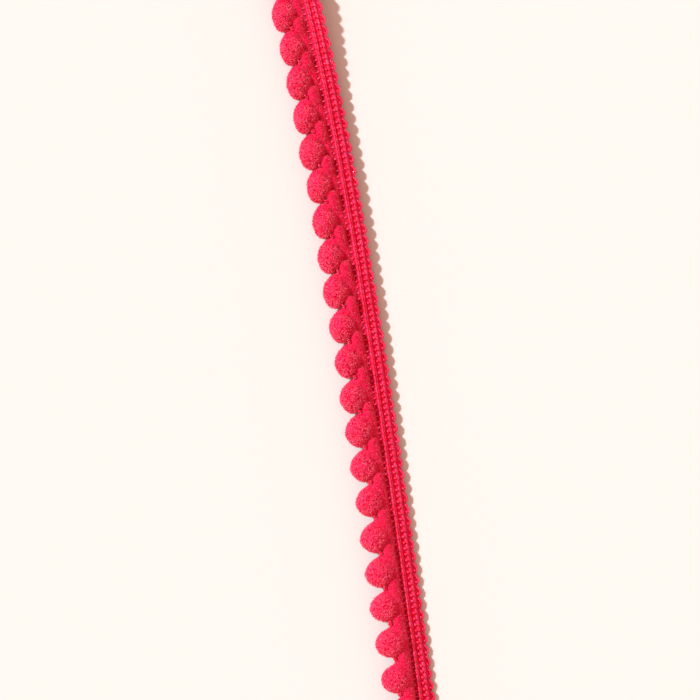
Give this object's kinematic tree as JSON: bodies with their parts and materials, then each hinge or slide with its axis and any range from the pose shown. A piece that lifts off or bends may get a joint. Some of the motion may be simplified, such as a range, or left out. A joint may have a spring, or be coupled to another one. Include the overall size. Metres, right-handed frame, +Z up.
{
  "type": "pompom trim",
  "caption": "Cut length of narrow pompom trim: a ribbed knitted braid with a scalloped edge, beside a row of small round pompoms on a pile cord.",
  "frame": {"origin": "centre of the trim's box, on the surface that it lies on", "axes": "+Y along the trim towards the end where the braid lifts, +Z up, pompoms on the -X side"},
  "size_m": [0.0156, 0.1978, 0.0073],
  "materials": {
    "braid": "crochet-knit cotton yarn",
    "pile": "dense matt cut pile"
  },
  "bodies": {
    "root": {"braid": "braid", "pompom_row": "pile"}
  },
  "joints": []
}
